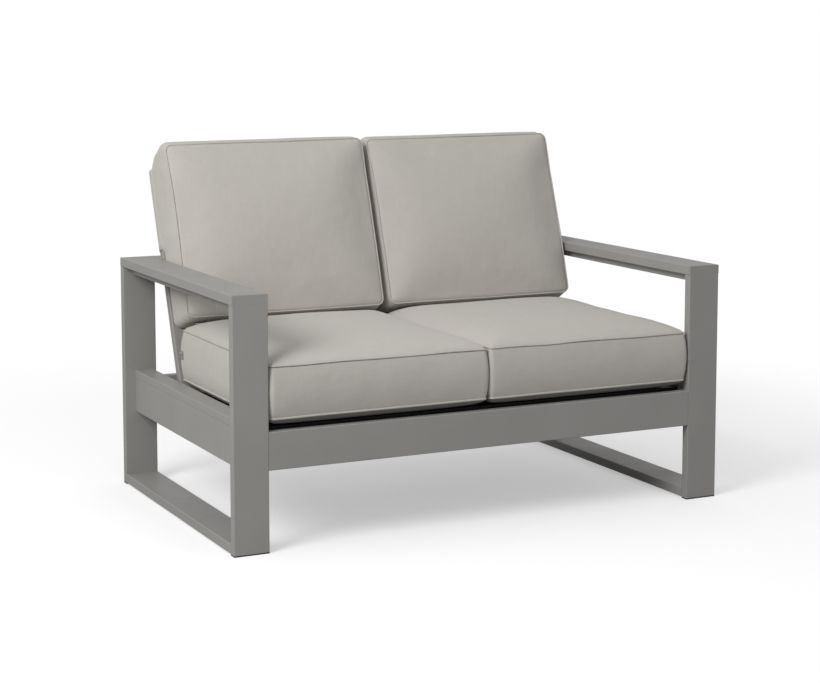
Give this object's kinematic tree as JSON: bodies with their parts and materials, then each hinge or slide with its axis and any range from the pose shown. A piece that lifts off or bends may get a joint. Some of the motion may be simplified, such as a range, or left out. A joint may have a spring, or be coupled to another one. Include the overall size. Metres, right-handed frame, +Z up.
{
  "type": "patio loveseat",
  "caption": "Outdoor loveseat: flat-tube sled frame with flat arms, tilted back frames, lift-out seat cushions and hooded lift-off back cushions.",
  "frame": {"origin": "on the floor, under the middle of the frame", "axes": "+X to the right seen from the front, -Y to the front, +Z up"},
  "size_m": [1.37, 0.8677, 0.9349],
  "materials": {
    "frame_coat": "satin",
    "cushion_fabric": "matte",
    "piping": "matte",
    "foam": "matte",
    "zip_tape": "matte",
    "zip_metal": "satin",
    "black_plastic": "matte",
    "fastener_steel": "satin",
    "bracket_aluminium": "satin"
  },
  "bodies": {
    "frame": {"arm_end_plates": "frame_coat", "leg_glides": "black_plastic", "front_rail": "frame_coat", "rear_rail": "frame_coat", "seat_beam": "frame_coat", "rear_crossbar": "frame_coat", "seat_slats": "frame_coat", "centre_bar": "frame_coat", "top_rail_plugs": "black_plastic", "post_wedges": "frame_coat", "corner_brackets": "bracket_aluminium", "beam_brackets": "bracket_aluminium", "crossbar_plates": "bracket_aluminium", "bracket_bolts": "fastener_steel", "rivet_nuts": "fastener_steel", "plate_screws": "fastener_steel", "left_arm": "frame_coat", "left_under_arm_bar": "frame_coat", "left_front_leg": "frame_coat", "left_rear_leg": "frame_coat", "left_bottom_rail": "frame_coat", "left_side_rail": "frame_coat", "left_side_cap": "frame_coat", "left_outer_back_post": "frame_coat", "left_inner_back_post": "frame_coat", "left_back_top_rail": "frame_coat", "left_back_slats": "frame_coat", "right_arm": "frame_coat", "right_under_arm_bar": "frame_coat", "right_front_leg": "frame_coat", "right_rear_leg": "frame_coat", "right_bottom_rail": "frame_coat", "right_side_rail": "frame_coat", "right_side_cap": "frame_coat", "right_outer_back_post": "frame_coat", "right_inner_back_post": "frame_coat", "right_back_top_rail": "frame_coat", "right_back_slats": "frame_coat"},
    "left_seat": {"left_seat_cover": "cushion_fabric", "left_seat_foam": "foam", "left_seat_piping": "piping", "left_seat_zip_tape": "zip_tape"},
    "left_back": {"left_back_cover": "cushion_fabric", "left_back_filling": "foam", "left_back_piping": "piping", "left_back_hood": "cushion_fabric", "left_back_zip_tape": "zip_tape"},
    "left_seat_zip": {"left_seat_zip_slider": "zip_metal"},
    "left_back_zip": {"left_back_zip_slider": "zip_metal"},
    "right_seat": {"right_seat_cover": "cushion_fabric", "right_seat_foam": "foam", "right_seat_piping": "piping", "right_seat_zip_tape": "zip_tape"},
    "right_back": {"right_back_cover": "cushion_fabric", "right_back_filling": "foam", "right_back_piping": "piping", "right_back_hood": "cushion_fabric", "right_back_zip_tape": "zip_tape"},
    "right_seat_zip": {"right_seat_zip_slider": "zip_metal"},
    "right_back_zip": {"right_back_zip_slider": "zip_metal"}
  },
  "joints": [
    {"name": "left_seat_lift_out", "type": "slide", "parent": "frame", "child": "left_seat", "axis": [0, -0.9397, 0.342], "range_m": [0, 0.3]},
    {"name": "left_back_lift_off", "type": "slide", "parent": "frame", "child": "left_back", "axis": [0, 0.3572, 0.934], "range_m": [0, 0.24]},
    {"name": "left_seat_zip_pull", "type": "slide", "parent": "left_seat", "child": "left_seat_zip", "axis": [1, 0, 0], "range_m": [0, 0.5]},
    {"name": "left_back_zip_pull", "type": "slide", "parent": "left_back", "child": "left_back_zip", "axis": [1, 0, 0], "range_m": [0, 0.42]},
    {"name": "right_seat_lift_out", "type": "slide", "parent": "frame", "child": "right_seat", "axis": [0, -0.9397, 0.342], "range_m": [0, 0.3]},
    {"name": "right_back_lift_off", "type": "slide", "parent": "frame", "child": "right_back", "axis": [0, 0.3572, 0.934], "range_m": [0, 0.24]},
    {"name": "right_seat_zip_pull", "type": "slide", "parent": "right_seat", "child": "right_seat_zip", "axis": [-1, 0, 0], "range_m": [0, 0.5]},
    {"name": "right_back_zip_pull", "type": "slide", "parent": "right_back", "child": "right_back_zip", "axis": [-1, 0, 0], "range_m": [0, 0.42]}
  ]
}
